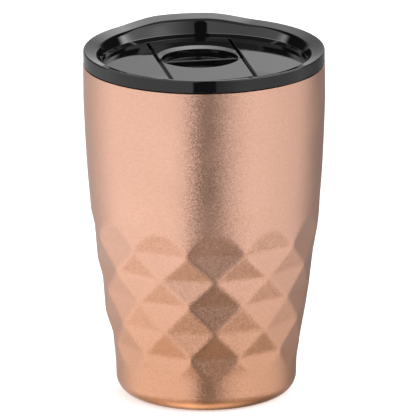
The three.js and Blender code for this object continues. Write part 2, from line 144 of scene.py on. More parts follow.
# Slider
TRAVEL = 13
SLIDER_HALF = 14.3
SLIDER_END_R = 35.3
SLIDER_BASE_Z = 117
TONGUE_HALF = 16.3
TONGUE_TOP_Z = 118.1
THUMB_Y = 8.5
THUMB_R = 13.6
THUMB_DEPTH = 3.5
THUMB_WALL = 1
BEVEL_Y = 10.2
BEVEL_R = 15.1
BEVEL_DEPTH = 0.5
BEVEL_WIDTH = 3.6
RIB_Y = 9.6
RIB_DROP = 1.1
SEAM_ROUND = 0.4

# Drinking hole and vent: slots are (length, width)
DRINK_Y = 29.6
DRINK_SLOT = (13, 6.4)
DUCT_SLOT = (14, 7)
DUCT_OUTER = (16.4, 9.4)
PAD_SLOT = (16, 9)
STUD_R = 2
STUD_TOP_Z = 118.2
STUD_HOLE_TOP_Z = 118.5
VENT_Y = -24
VENT_R = 1
VENT_DUCT_R = 2.4

# Plug
PLUG_R = 38.6
PLUG_FOOT_R = 38.2
PLUG_Z = 107
PLUG_WALL = 1.4
PLUG_TOP_Z = 117.8
PLUG_BORE_R = 35.5
GROOVE_R = 36.9
GROOVE_Z = (109, 112.6)
GASKET_LIP_R = SEAT_R - FIT_GAP

# Camera
CAMERA_AZIMUTH = radians(-10)
CAMERA_ELEVATION = radians(16.11)
CAMERA_ROLL = radians(-0.42)
CAMERA_DISTANCE = 3.1252
CAMERA_LENS = 756.1
CAMERA_SHIFT = 0.0116
AIM_Z = 0.066

# Light, in degrees: a turn is from the camera's side, positive to the right, and a rise is above
# level. Each pair but the first is where a change of the light starts and ends.
GAP_TURNS = (-8.3, 11.3)
GAP_LEAN = 0.14
GAP_EDGE = (-1, 1)
FRONT_END = (104, 114)
WALL_START = (140, 155)
HORIZON = (-2, 3)
STRIP_FOOT = (13, 16)
STRIP_TOP = (25, 31)
FRONT_TOP = (56, 60)
CEILING_START = (56, 62)
HIGH_WALL = (20, 42)
WALL_END = (63, 69)


# ---------- Outlines ----------


def rounded(corners, closed=True, steps=6):
    """Points along an outline of (x, y, fillet radius) corners."""
    points = []
    last = len(corners) - 1
    for i, (x, y, radius) in enumerate(corners):
        here = Vector((x, y))
        if radius == 0 or (not closed and i in (0, last)):
            points.append((x, y))
            continue
        to_before = (Vector(corners[i - 1][:2]) - here).normalized()
        to_after = (Vector(corners[(i + 1) % len(corners)][:2]) - here).normalized()
        half = to_before.angle(to_after) / 2
        centre = here + (to_before + to_after).normalized() * (radius / sin(half))
        start = here + to_before * (radius / tan(half)) - centre
        end = here + to_after * (radius / tan(half)) - centre
        first = atan2(start.y, start.x)
        turn = (atan2(end.y, end.x) - first + pi) % (2 * pi) - pi
        for step in range(steps + 1):
            angle = first + turn * step / steps
            points.append((centre.x + radius * cos(angle), centre.y + radius * sin(angle)))
    return points


def arc(x, y, radius, start, end, steps=12):
    """Points on an arc between two angles in degrees."""
    angles = [radians(start + (end - start) * i / steps) for i in range(steps + 1)]
    return [(x + radius * cos(a), y + radius * sin(a)) for a in angles]


def spline_radius(points, heights):
    """The radius at each height on a smooth curve through (radius, height) points."""
    known = np.array([p[1] for p in points], float)
    radii = np.array([p[0] for p in points], float)
    slopes = np.gradient(radii, known)
    heights = np.asarray(heights, float)
    span = np.clip(np.searchsorted(known, heights) - 1, 0, len(known) - 2)
    step = known[span + 1] - known[span]
    t = (heights - known[span]) / step
    start = (1 + 2 * t) * (1 - t) ** 2 * radii[span] + t * (1 - t) ** 2 * step * slopes[span]
    end = t**2 * (3 - 2 * t) * radii[span + 1] + t**2 * (t - 1) * step * slopes[span + 1]
    return start + end


def slot_outline(size, y, grow=0.0):
    """A slot along X with round ends."""
    length, width = size
    half = (length - width) / 2
    radius = width / 2 + grow
    return arc(half, y, radius, -90, 90) + arc(-half, y, radius, 90, 270)


def disc_outline(radius, x, y, steps=32):
    return arc(x, y, radius, 0, 360, steps)[:-1]


def strip_outline(half, end_radius, front_shift=0.0):
    """A strip along Y between a back arc centred on the axis and a front arc centred further back."""
    corner = degrees(acos(half / end_radius))
    back = arc(0, 0, end_radius, corner, 180 - corner, 28)
    front = arc(0, front_shift, end_radius, 180 + corner, 360 - corner, 28)
    return back + front


# ---------- Meshes ----------


def new_object(name, vertices, faces):
    mesh = bpy.data.meshes.new(name)
    mesh.from_pydata([tuple(v) for v in vertices], [], faces)
    mesh.validate()
    piece = bpy.data.objects.new(name, mesh)
    bpy.context.scene.collection.objects.link(piece)
    return piece


def ring_mesh(name, rings, closed):
    """Joins equal rings of points. A closed stack joins its ends, and an open one is capped."""
    rings = np.asarray(rings, float)
    rows, columns = rings.shape[:2]
    faces = []
    for row in range(rows if closed else rows - 1):
        above = (row + 1) % rows
        for i in range(columns):
            j = (i + 1) % columns
            faces.append(
                (row * columns + i, row * columns + j, above * columns + j, above * columns + i)
            )
    if not closed:
        faces.append(tuple(reversed(range(columns))))
        faces.append(tuple((rows - 1) * columns + i for i in range(columns)))
    return new_object(name, rings.reshape(-1, 3), faces)


def turned(name, outline, closed=False, segments=160, centre=(0, 0)):
    """Turns (radius, height) points about an upright axis. The outline runs anticlockwise."""
    angles = np.arange(segments) * 2 * pi / segments
    ring = np.stack([np.cos(angles), np.sin(angles)], axis=1)
    rings = []
    for radius, z in outline:
        flat = ring * radius + np.array(centre)
        rings.append(np.column_stack([flat, np.full(segments, z)]))
    return ring_mesh(name, rings, closed)


def lofted(name, layers):
    """A solid through stacked outlines, each (points, height)."""
    rings = [[(x, y, z) for x, y in points] for points, z in layers]
    return ring_mesh(name, rings, closed=False)


def combine(target, operation, tool):
    """Joins or cuts the target with the tool, which is used up."""
    modifier = target.modifiers.new("combine", "BOOLEAN")
    modifier.operation = operation
    modifier.solver = "EXACT"
    modifier.object = tool
    graph = bpy.context.evaluated_depsgraph_get()
    result = bpy.data.meshes.new_from_object(target.evaluated_get(graph))
    target.modifiers.clear()
    target.data = result
    bpy.data.objects.remove(tool)
    return target


def place(piece, node, material, sharp=35):
    """Scales a finished piece to metres, shades it and puts it in its CAD node's place."""
    mesh = piece.data
    mesh.transform(Matrix.Scale(MM, 4))
    mesh.shade_smooth()
    mesh.set_sharp_from_angle(angle=radians(sharp))
    mesh.materials.clear()
    mesh.materials.append(material)
    weighted = piece.modifiers.new("flat faces", "WEIGHTED_NORMAL")
    weighted.keep_sharp = True
    body = next(b for b, empty in frame["bodies"].items() if frame["nodes"][node].parent == empty)
    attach(piece, body)
    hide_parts(node)
    return piece


# ---------- Cup ----------


def smooth_radius(heights):
    """The body's radius without its facets."""
    beside = [(radius + PROUD, z) for radius, z in (FACET_ROWS[4], FACET_ROWS[2], FACET_ROWS[0])]
    return spline_radius([FOOT, FOOT_TOP, *beside, WAIST, *TAPER, (BODY_R, SHOULDER_Z)], heights)


def facet_radius(angles, heights):
    """The radius of the cage of facets, at each height (rows) and angle (columns)."""
    half = pi / FACETS_ROUND
    flat = cos(half)
    top_r, top_z = FACET_ROWS[0]
    flare = (ARCH_TOP[0] - top_r * flat) / (ARCH_TOP[1] - top_z)
    high_z = MOUTH_Z + 10
    rings = [(top_r + flare / flat * (high_z - top_z), high_z)]
    rings += FACET_ROWS
    rings += [(ARCH_FOOT[0] / flat, ARCH_FOOT[1]), (BODY_R, -5)]
    staggers = [0] + [row % 2 for row in range(len(FACET_ROWS))] + [0, 0]

    def from_middle(offset):
        """The angle from the middle of the nearest facet that is offset steps round."""
        step = 2 * half
        return (angles - FACET_TURN - half * offset + half) % step - half

    result = np.zeros((len(heights), len(angles)))
    for (high, low), (upper, lower) in zip(zip(rings, rings[1:]), zip(staggers, staggers[1:])):
        rows = (heights <= high[1]) & (heights > low[1])
        share = ((heights[rows] - low[1]) / (high[1] - low[1]))[:, None]
        if upper == lower:
            middle = (low[0] + (high[0] - low[0]) * share) * flat
            result[rows] = middle / np.cos(from_middle(upper + 1))
        else:
            down = (low[0] + (high[0] * flat - low[0]) * share) / np.cos(from_middle(upper + 1))
            up = (low[0] * flat + (high[0] - low[0] * flat) * share) / np.cos(from_middle(upper))
            result[rows] = np.minimum(down, up)
    return result


def softened(values, spread, axis):
    """Blurs an array along one axis. Round the body it wraps, and up the body its ends repeat."""
    reach = 4
    weights = np.exp(-0.5 * (np.arange(-reach, reach + 1) / spread) ** 2)
    mode = "wrap" if axis == 1 else "edge"
    pad = [(0, 0), (0, 0)]
    pad[axis] = (reach, reach)
    padded = np.pad(values, pad, mode=mode)
    shifted = [np.take(padded, range(i, i + values.shape[axis]), axis) for i in range(2 * reach + 1)]
    return np.tensordot(weights / weights.sum(), np.array(shifted), 1)


def body_side(angles, heights):
    """The faceted side of the body, with its edges a little round."""
    plain = np.repeat(smooth_radius(heights)[:, None], len(angles), axis=1)
    radii = np.minimum(plain, facet_radius(angles, heights))
    column_step = 2 * pi * FACET_ROWS[2][0] / len(angles)
    radii = softened(radii, EDGE_SOFTNESS / column_step, axis=1)
    return softened(radii, EDGE_SOFTNESS / ROW_STEP, axis=0)


def shell_base():
    """The base's outline, from the foot's corner round the hem to the corner's inside."""
    corner_x = FOOT[0] - BASE_CORNER
    outline = arc(corner_x, BASE_CORNER, BASE_CORNER, 0, -90, 16)
    outline += rounded(
        [
            (corner_x - 0.5, 0, 0),
            (HEM_R, 0, 0.5),
            (HEM_R, HEM_TOP, 0.25),
            (HEM_R + SHELL_WALL, HEM_TOP, 0.25),
            (HEM_R + SHELL_WALL, SHELL_WALL, 0),
        ],
        closed=False,
    )
    return outline + arc(corner_x, BASE_CORNER, BASE_CORNER - SHELL_WALL, -90, 0, 12)


def outer_shell():
    """Down the outside from the mouth, round the base and the hem, and back up the inside."""
    angles = np.arange(SHELL_COLUMNS) * 2 * pi / SHELL_COLUMNS
    around = np.ones(SHELL_COLUMNS)
    # Angles are measured from -Y towards +X, as the facets are.
    direction = np.stack([np.sin(angles), -np.cos(angles)], axis=1)
    faceted = np.arange(FACETED_Z[1], FACETED_Z[0], -ROW_STEP)
    plain = np.arange(SHOULDER_Z - 1, faceted[0] + 1, -PLAIN_STEP)
    outside = [(BODY_R - SHELL_WALL / 2, MOUTH_Z), (BODY_R - MOUTH_EDGE, MOUTH_Z)]
    outside += [(BODY_R, MOUTH_Z - MOUTH_EDGE), (BODY_R, BAND_Z), (BODY_R, SHOULDER_Z + 1)]
    outside += list(zip(smooth_radius(plain), plain))
    profile = [(radius * around, z) for radius, z in outside]
    profile += list(zip(body_side(angles, faceted), faceted))
    profile += [(radius * around, z) for radius, z in shell_base()]
    # The inside is hidden, so every fifth row of the facets is enough there.
    inside = faceted[::-1][::5]
    profile += list(zip(body_side(angles, faceted)[::-1][::5] - SHELL_WALL, inside))
    rest = plain[::-1]
    profile += [(radius * around, z) for radius, z in zip(smooth_radius(rest) - SHELL_WALL, rest)]
    profile.append(((BODY_R - SHELL_WALL) * around, SHOULDER_Z + 1))
    profile.append(((BODY_R - SHELL_WALL) * around, MOUTH_Z))
    rings = []
    for radii, z in profile:
        rings.append(np.column_stack([direction * radii[:, None], np.full(SHELL_COLUMNS, z)]))
    return ring_mesh("tumbler_body", rings[::-1], closed=True)


def liner_side(outset, low, high, step=4.0):
    """Points up the liner's side between two heights, set out by a wall thickness."""
    heights = np.linspace(low, high, max(2, round((high - low) / step)))
    return list(zip(spline_radius(LINER_SIDE, heights) + outset, heights))


def inner_liner():
    low, high = LINER_SIDE[0][1], LINER_SIDE[-1][1]
    corner_x = LINER_SIDE[0][0] - LINER_CORNER
    corner_z = LINER_FLOOR_Z + LINER_CORNER
    lip_x = SEAT_R + LIP_R
    lip_z = MOUTH_Z - LIP_R
    flange_r = BODY_R - SHELL_WALL - FIT_GAP
    outline = arc(corner_x, corner_z, LINER_CORNER + LINER_WALL, -90, 0)
    outline += liner_side(LINER_WALL, low, high)[1:]
    outline.append((SEAT_R + LINER_WALL, SEAT_Z))
    outline += arc(lip_x, lip_z, LIP_R - LINER_WALL, 180, 90)
    outline += [(flange_r, MOUTH_Z - LINER_WALL), (flange_r, MOUTH_Z - 0.1), (flange_r - 0.1, MOUTH_Z)]
    outline += arc(lip_x, lip_z, LIP_R, 90, 180)
    outline.append((SEAT_R, SEAT_Z))
    outline += liner_side(0, low, high)[:0:-1]
    outline += arc(corner_x, corner_z, LINER_CORNER, 0, -90)
    return turned("liner", outline)


def radiation_foil():
    """A thin wrap with shallow creases."""
    side = liner_side(LINER_WALL + FIT_GAP, *FOIL_Z, step=2.5)
    outline = [(radius + FOIL_WALL, z) for radius, z in side] + side[::-1]
    foil = turned("foil_wrap", outline, closed=True)
    for vertex in foil.data.vertices:
        angle = atan2(vertex.co.y, vertex.co.x)
        waves = sin(23 * angle + 0.4 * vertex.co.z) * sin(9 * angle - 0.27 * vertex.co.z)
        grown = 1 + CREASE_DEPTH * (waves + 1) / hypot(vertex.co.x, vertex.co.y)
        vertex.co.x *= grown
        vertex.co.y *= grown
    return foil


def closing_plate():
    hole_r = 0.8
    edge_r = HEM_R - FIT_GAP
    top = HEM_TOP + 0.4
    dimple_z = PLATE_Z + 1
    outline = rounded(
        [
            (hole_r, dimple_z, 0.1),
            (DIMPLE_R, dimple_z, 0.5),
            (DIMPLE_R + 1, PLATE_Z, 0.3),
            (edge_r, PLATE_Z, 0.5),
            (edge_r, top, 0.2),
            (edge_r - PLATE_WALL, top, 0.2),
            (edge_r - PLATE_WALL, PLATE_Z + PLATE_WALL, 0.2),
            (DIMPLE_R + 1, PLATE_Z + PLATE_WALL, 0.3),
            (DIMPLE_R, dimple_z + PLATE_WALL, 0.4),
            (hole_r, dimple_z + PLATE_WALL, 0.1),
        ]
    )
    return turned("vacuum_plate", outline, closed=True)


def solder_bead():
    radius = DIMPLE_R - FIT_GAP
    top = PLATE_Z + 1 - FIT_GAP
    bulge = 0.7
    outline = [(0.05, top - bulge)]
    outline += [(radius * sin(a), top - bulge * cos(a)) for a in np.linspace(0.1, pi / 2, 12)]
    return turned("seal_bead", outline, segments=48)


def base_cover():
    edge_r = HEM_R - FIT_GAP
    ring_r = 17
    step = 0.3
    top = COVER_Z + COVER_WALL
    outline = rounded(
        [
            (ring_r - 2, COVER_Z + step, 0),
            (ring_r, COVER_Z + step, 0.3),
            (ring_r + step, COVER_Z, 0.3),
            (edge_r, COVER_Z, 0.25),
            (edge_r, top, 0.1),
            (ring_r + step, top, 0.3),
            (ring_r, top + step, 0.3),
            (ring_r - 2, top + step, 0),
        ],
        closed=False,
    )
    return turned("base_disc", outline)


def getter_holder():
    foot_z = PLATE_Z + PLATE_WALL + FIT_GAP
    floor_z = foot_z + GETTER_WALL
    inner_r = GETTER_R + FIT_GAP
    outer_r = inner_r + GETTER_WALL
    top = floor_z + GETTER_HEIGHT * 0.7
    outline = rounded(
        [
            (inner_r - 1, foot_z, 0),
            (outer_r, foot_z, 0.3),
            (outer_r, top, 0.15),
            (inner_r, top, 0.15),
            (inner_r, floor_z, 0.2),
            (inner_r - 1, floor_z, 0),
        ],
        closed=False,
    )
    return turned("getter_cup", outline, segments=64, centre=(GETTER_X, 0))


def getter_pellet():
    bottom = PLATE_Z + PLATE_WALL + 2 * FIT_GAP + GETTER_WALL
    top = bottom + GETTER_HEIGHT
    corners = [(2, bottom, 0), (GETTER_R, bottom, 0.25), (GETTER_R, top, 0.25), (2, top, 0)]
    outline = rounded(corners, closed=False)
    return turned("getter_disc", outline, segments=64, centre=(GETTER_X, 0))


# ---------- Lid ----------


def raise_rim(piece):
    """Lifts the rim at the drinking side and leans it, more towards its top."""
    for vertex in piece.data.vertices:
        x, y, z = vertex.co
        aside = degrees(abs(atan2(x, y)))
        along = min(max((aside - RISE_FLAT) / (RISE_END - RISE_FLAT), 0), 1)
        swell = 1 - along * along * (3 - 2 * along)
        share = min(max((z - RISE_ROOT_Z) / (RIM_TOP - RISE_ROOT_Z), 0), 1)
        vertex.co.z = z + (RIM_RISE * swell + RIM_LEAN * y / LID_R) * share
    return piece


def lid_disc():
    underside = FLOOR_Z - FLOOR_WALL
    skirt_in = SKIRT_R - SKIRT_WALL
    coring = {"inner": 39.9, "outer": 41.3, "top": 123.4}
    edge = 0.5
    # The slope is set so that the crest's round edge just reaches the rim's top.
    slope_start = RIM_TOP - edge + edge / cos(RIM_FALL) + edge * tan(RIM_FALL)
    slope_end = slope_start - (LID_R - RIM_INNER_R) * tan(RIM_FALL)
    corners = [
        (MIDDLE_R, underside, 0),
        (skirt_in, underside, 0.4),
        (skirt_in, SKIRT_Z, 0.3),
        (SKIRT_R, SKIRT_Z, 0.3),
        (SKIRT_R, underside, 0.2),
        (SPIGOT_R, underside, 0.3),
        (SPIGOT_R, LID_SEAT_Z, 0.1),
        (coring["inner"], LID_SEAT_Z, 0.15),
        (coring["inner"], coring["top"], 0.3),
        (coring["outer"], coring["top"], 0.3),
        (coring["outer"], LID_SEAT_Z, 0.15),
        (LID_R, LID_SEAT_Z, 0.3),
        (LID_R, slope_start, edge),
        (RIM_INNER_R, slope_end, 2.4),
        (*WALL_TOP, 1.2),
        (WALL_FOOT_R, FLOOR_Z, 0),
        (MIDDLE_R, FLOOR_Z, 0),
    ]
    return raise_rim(turned("lid_top", rounded(corners, closed=False), segments=192))


def quarter_round(radius, steps=6):
    """How far a rounded edge has gone in, and is still below its top, at each step up it."""
    angles = [pi / 2 * step / steps for step in range(steps + 1)]
    return [(radius * (1 - cos(a)), radius * (1 - sin(a))) for a in angles]


def opening(name, outline_at, low, high, edge):
    """A cutter whose top edge flares out in a quarter round, so that the hole's edge is round."""
    wide = edge + 0.04
    layers = [(outline_at(0), low)]
    layers += [(outline_at(out), high - below) for out, below in quarter_round(edge)]
    layers += [(outline_at(wide), high + 0.01), (outline_at(wide), high + 0.5)]
    return lofted(name, layers)


def channel_cutter():
    def outline_at(grow):
        return strip_outline(CHANNEL_HALF + grow, CHANNEL_END_R + grow * 0.2)

    return opening("channel", outline_at, CHANNEL_FLOOR_Z, FLOOR_Z, SEAM_ROUND)


def lid_shell():
    underside = FLOOR_Z - FLOOR_WALL
    past = 0.5
    lid = lid_disc()
    trough = strip_outline(CHANNEL_OUTER_HALF, SKIRT_R - 0.2)
    slot = strip_outline(TONGUE_SLOT_HALF, CHANNEL_END_R - 0.02)
    drink_z = CHANNEL_BASE_Z - past

    def drink_at(grow):
        return slot_outline(DRINK_SLOT, DRINK_Y, grow)

    combine(lid, "UNION", lofted("trough", [(trough, CHANNEL_BASE_Z), (trough, underside + past)]))
    combine(lid, "DIFFERENCE", channel_cutter())
    combine(lid, "DIFFERENCE", lofted("tongue slots", [(slot, z) for z in TONGUE_SLOT_Z]))
    combine(lid, "DIFFERENCE", opening("drink", drink_at, drink_z, CHANNEL_FLOOR_Z, 0.4))
    vent = disc_outline(VENT_R, 0, VENT_Y)
    combine(lid, "DIFFERENCE", lofted("vent", [(vent, drink_z), (vent, CHANNEL_FLOOR_Z + past)]))
    return lid


def lid_plug():
    floor_top = PLUG_Z + PLUG_WALL
    duct_top = CHANNEL_BASE_Z - FIT_GAP
    rebate_r = SKIRT_R + FIT_GAP
    past = 0.5
    corners = [
        (MIDDLE_R, PLUG_Z, 0),
        (PLUG_FOOT_R, PLUG_Z, 1.0),
        (PLUG_FOOT_R, GROOVE_Z[0], 0.15),
        (GROOVE_R, GROOVE_Z[0], 0.1),
        (GROOVE_R, GROOVE_Z[1], 0.1),
        (PLUG_R, GROOVE_Z[1], 0.15),
        (PLUG_R, PLUG_TOP_Z, 0.2),
        (rebate_r, PLUG_TOP_Z, 0.2),
        (rebate_r, duct_top, 0.1),
        (PLUG_BORE_R, duct_top, 0.2),
        (PLUG_BORE_R, floor_top, 0.5),
        (MIDDLE_R, floor_top, 0),
    ]
    plug = turned("lid_bottom", rounded(corners, closed=False))
    duct = slot_outline(DUCT_OUTER, DRINK_Y)
    vent_duct = disc_outline(VENT_DUCT_R, 0, VENT_Y)
    bore = slot_outline(DUCT_SLOT, DRINK_Y)
    vent = disc_outline(VENT_R, 0, VENT_Y)
    for name, outline in (("duct", duct), ("vent duct", vent_duct)):
        combine(plug, "UNION", lofted(name, [(outline, PLUG_Z + past), (outline, duct_top - 0.02)]))
    for name, outline in (("bore", bore), ("vent bore", vent)):
        combine(plug, "DIFFERENCE", lofted(name, [(outline, PLUG_Z - past), (outline, duct_top + past)]))
    return plug


def lid_gasket():
    inner_r = GROOVE_R + FIT_GAP
    low = GROOVE_Z[0] + FIT_GAP
    high = GROOVE_Z[1] - FIT_GAP
    middle = (low + high) / 2
    outline = rounded(
        [
            (inner_r, low, 0.1),
            (PLUG_FOOT_R, low, 0.15),
            (GASKET_LIP_R, low + 0.6, 0.15),
            (PLUG_FOOT_R, low + 1, 0.1),
            (PLUG_FOOT_R, middle, 0.1),
            (GASKET_LIP_R, middle + 0.6, 0.15),
            (PLUG_FOOT_R, middle + 1, 0.1),
            (PLUG_FOOT_R, high, 0.15),
            (inner_r, high, 0.1),
        ],
        steps=3,
    )
    return turned("seal_ring", outline, closed=True)


# ---------- Slider ----------


def thumb_dish():
    """The thumb recess as a cutter: a flat floor, a steep side and a rounded edge at the face."""
    floor_z = FLOOR_Z - THUMB_DEPTH
    past_r = THUMB_R + 1.5
    corners = [
        (THUMB_R - 5, floor_z, 0),
        (THUMB_R - 0.5, floor_z, 0.3),
        (THUMB_R, FLOOR_Z, 0.25),
        (past_r, FLOOR_Z + 0.02, 0),
        (past_r, FLOOR_Z + 0.6, 0),
    ]
    return turned("dish", rounded(corners, closed=False), centre=(0, THUMB_Y))


def bevel_cutter():
    """A shallow slope down to the recess, with a point close inside its edge to keep it crisp."""
    foot_r = BEVEL_R - BEVEL_WIDTH
    foot_z = FLOOR_Z - BEVEL_DEPTH
    inset = 0.15
    outline = [
        (foot_r - 1, foot_z),
        (foot_r, foot_z),
        (BEVEL_R - inset, FLOOR_Z - inset * BEVEL_DEPTH / BEVEL_WIDTH),
        (BEVEL_R, FLOOR_Z),
        (BEVEL_R, FLOOR_Z + 1),
    ]
    return turned("bevel", outline, centre=(0, BEVEL_Y))


def slider_plate():
    """The plate with its two side tongues and a rounded top edge."""

    def outline_at(half, shrink=0.0):
        return strip_outline(half - shrink, SLIDER_END_R - shrink, TRAVEL)

    layers = [
        (outline_at(TONGUE_HALF), SLIDER_BASE_Z),
        (outline_at(TONGUE_HALF), TONGUE_TOP_Z),
        (outline_at(SLIDER_HALF), TONGUE_TOP_Z),
    ]
    for shrink, below in quarter_round(SEAM_ROUND):
        layers.append((outline_at(SLIDER_HALF, shrink), FLOOR_Z - below))
    return lofted("lid_slide", layers)


def rib():
    """The finger rib across the recess: upright sides and a rounded, nearly level top."""
    ridge_z = FLOOR_Z - RIB_DROP
    foot_z = FLOOR_Z - THUMB_DEPTH - 0.3
    side = rounded(
        [
            (RIB_Y - 0.8, foot_z, 0),
            (RIB_Y - 0.8, ridge_z, 0.35),
            (RIB_Y + 0.8, ridge_z - 0.1, 0.6),
            (RIB_Y + 1.2, foot_z, 0),
        ]
    )
    half = THUMB_R + 2
    bar = ring_mesh("rib", [[(x, y, z) for y, z in side] for x in (half, -half)], closed=False)
    inside = [(8, foot_z - 0.1), (THUMB_R - 0.1, foot_z - 0.1), (THUMB_R + 0.3, FLOOR_Z - 0.2)]
    return combine(bar, "INTERSECT", turned("inside", inside, centre=(0, THUMB_Y)))


def slider():
    plate = slider_plate()
    under_z = FLOOR_Z - THUMB_DEPTH - THUMB_WALL
    under = [(8, under_z, 0), (THUMB_R, under_z, 1.2), (THUMB_R + 0.4, SLIDER_BASE_Z + 1, 0)]
    combine(plate, "UNION", turned("under", rounded(under, closed=False), centre=(0, THUMB_Y)))
    combine(plate, "DIFFERENCE", bevel_cutter())
    combine(plate, "DIFFERENCE", thumb_dish())
    combine(plate, "UNION", rib())
    stud = disc_outline(STUD_R + FIT_GAP, 0, DRINK_Y)
    hole = lofted("stud hole", [(stud, SLIDER_BASE_Z - 1), (stud, STUD_HOLE_TOP_Z)])
    return combine(plate, "DIFFERENCE", hole)


def slider_seal():
    low = CHANNEL_FLOOR_Z + FIT_GAP
    high = SLIDER_BASE_Z - FIT_GAP
    edge = 0.3
    full = slot_outline(PAD_SLOT, DRINK_Y)
    foot = slot_outline(PAD_SLOT, DRINK_Y, -edge)
    pad = lofted("seal_pad", [(foot, low), (full, low + edge), (full, high)])
    stud = disc_outline(STUD_R, 0, DRINK_Y)
    return combine(pad, "UNION", lofted("stud", [(stud, high - 0.5), (stud, STUD_TOP_Z)]))


# ---------- Materials ----------


class Graph:
    """Adds nodes to a node tree. An input is a value or another node's output."""

    def __init__(self, tree):
        self.tree = tree
        tree.nodes.clear()

    def add(self, kind, inputs=(), **settings):
        node = self.tree.nodes.new(kind)
        for key, value in settings.items():
            setattr(node, key, value)
        for key, value in dict(inputs).items():
            if isinstance(value, bpy.types.NodeSocket):
                self.tree.links.new(value, node.inputs[key])
            else:
                node.inputs[key].default_value = value
        return node

    def math(self, operation, *values):
        return self.add("ShaderNodeMath", dict(enumerate(values)), operation=operation).outputs[0]

    def product(self, first, *others):
        for other in others:
            first = self.math("MULTIPLY", first, other)
        return first

    def vector(self, operation, *values):
        node = self.add("ShaderNodeVectorMath", dict(enumerate(values)), operation=operation)
        return node.outputs["Value" if operation in ("DOT_PRODUCT", "LENGTH") else "Vector"]

    def fade(self, value, low, high, start=0.0, end=1.0):
        """Goes smoothly from start to end as the value goes from low to high."""
        inputs = {"Value": value, "From Min": low, "From Max": high, "To Min": start, "To Max": end}
        node = self.add("ShaderNodeMapRange", inputs, interpolation_type="SMOOTHSTEP")
        return node.outputs["Result"]

    def noise(self, vector, scale, detail=2.0):
        inputs = {"Vector": vector, "Scale": scale, "Detail": detail}
        return self.add("ShaderNodeTexNoise", inputs).outputs["Fac"]

    def bump(self, height, distance, strength=1.0):
        inputs = {"Height": height, "Distance": distance, "Strength": strength}
        return self.add("ShaderNodeBump", inputs).outputs["Normal"]

    def blend(self, share, first, second):
        inputs = {"Factor": share, "A": first, "B": second}
        return self.add("ShaderNodeMix", inputs, data_type="RGBA").outputs["Result"]


def surface(name, shade):
    """A material whose shader inputs come from shade(graph, object coordinates)."""
    material = bpy.data.materials.new(name)
    material.use_nodes = True
    graph = Graph(material.node_tree)
    coordinates = graph.add("ShaderNodeTexCoord").outputs["Object"]
    shader = graph.add("ShaderNodeBsdfPrincipled", shade(graph, coordinates))
    graph.add("ShaderNodeOutputMaterial", {"Surface": shader.outputs["BSDF"]})
    return material


def copper_paint(graph, place_at):
    """Metallic paint: fine flakes, each with its own lean and shade, under a thin satin coat."""
    flake_lean = 0.14
    inputs = {"Vector": place_at, "Scale": 3600.0}
    flakes = graph.add("ShaderNodeTexVoronoi", inputs).outputs["Color"]
    lean = graph.vector("SUBTRACT", flakes, (0.5, 0.5, 0.5))
    lean = graph.vector("MULTIPLY", lean, (flake_lean, flake_lean, flake_lean))
    normal = graph.add("ShaderNodeNewGeometry").outputs["Normal"]
    leaning = graph.vector("NORMALIZE", graph.vector("ADD", normal, lean))
    shade = graph.vector("LENGTH", flakes)
    colour = graph.blend(graph.fade(shade, 0.4, 1.4), (0.78, 0.445, 0.325, 1), (0.90, 0.535, 0.405, 1))
    # Painted reflection and shade: over the lowest 75 mm the colour is tinted darker and warmer, in place
    # of the warm floor reflection and the shade close to the floor.
    height = graph.add("ShaderNodeSeparateXYZ", {0: place_at}).outputs[2]
    low = graph.fade(height, 0.0, 0.075, 1.0, 0.0)
    painted_reflection_tint = graph.blend(low, (1, 1, 1, 1), (0.90, 0.80, 0.67, 1))
    colour = graph.vector("MULTIPLY", colour, painted_reflection_tint)
    uneven = graph.noise(place_at, 60.0)
    return {
        "Base Color": colour,
        "Metallic": 1.0,
        "Roughness": graph.fade(uneven, 0.3, 0.7, 0.31, 0.36),
        "Normal": leaning,
        "Coat Weight": 0.12,
        "Coat Roughness": 0.25,
    }


def gloss_black(graph, place_at):
    """Moulded gloss plastic: nearly flat, with a trace of flow and fine haze."""
    flow = graph.noise(place_at, 90.0)
    haze = graph.noise(place_at, 900.0, 4.0)
    return {
        "Base Color": graph.blend(haze, (0.0025, 0.0025, 0.003, 1), (0.004, 0.004, 0.0045, 1)),
        "Roughness": graph.fade(haze, 0.3, 0.7, 0.035, 0.06),
        "IOR": 1.5,
        "Normal": graph.bump(flow, 0.00002, 0.5),
    }


def brushed_steel(graph, place_at):
    """Steel with fine lines round the axis, as spun parts have."""
    split = graph.add("ShaderNodeSeparateXYZ", {0: place_at})
    flat = graph.add("ShaderNodeCombineXYZ", {0: split.outputs[0], 1: split.outputs[1]}).outputs[0]
    angle = graph.math("ARCTAN2", split.outputs[1], split.outputs[0])
    radius = graph.vector("LENGTH", flat)
    inputs = {0: graph.math("MULTIPLY", radius, 4000.0), 1: graph.math("MULTIPLY", angle, 2.0)}
    inputs[2] = graph.math("MULTIPLY", split.outputs[2], 4000.0)
    lines = graph.noise(graph.add("ShaderNodeCombineXYZ", inputs).outputs[0], 1.0, 3.0)
    return {
        "Base Color": graph.blend(lines, (0.50, 0.50, 0.51, 1), (0.62, 0.62, 0.63, 1)),
        "Metallic": 1.0,
        "Roughness": graph.fade(lines, 0.3, 0.7, 0.24, 0.36),
        "Normal": graph.bump(lines, 0.00001, 0.4),
    }


def creased_foil(graph, place_at):
    creases = graph.add("ShaderNodeTexVoronoi", {"Vector": place_at, "Scale": 260.0})
    return {
        "Base Color": graph.blend(creases.outputs["Distance"], (0.80, 0.81, 0.83, 1), (0.9, 0.9, 0.92, 1)),
        "Metallic": 1.0,
        "Roughness": graph.fade(graph.noise(place_at, 300.0), 0.3, 0.7, 0.15, 0.35),
        "Normal": graph.bump(creases.outputs["Distance"], 0.0002, 0.6),
    }


def fused_glass(graph, place_at):
    speckle = graph.noise(place_at, 1500.0, 4.0)
    return {
        "Base Color": graph.blend(speckle, (0.16, 0.17, 0.18, 1), (0.32, 0.33, 0.35, 1)),
        "Roughness": graph.fade(speckle, 0.3, 0.7, 0.25, 0.5),
        "Normal": graph.bump(speckle, 0.00005, 0.5),
    }


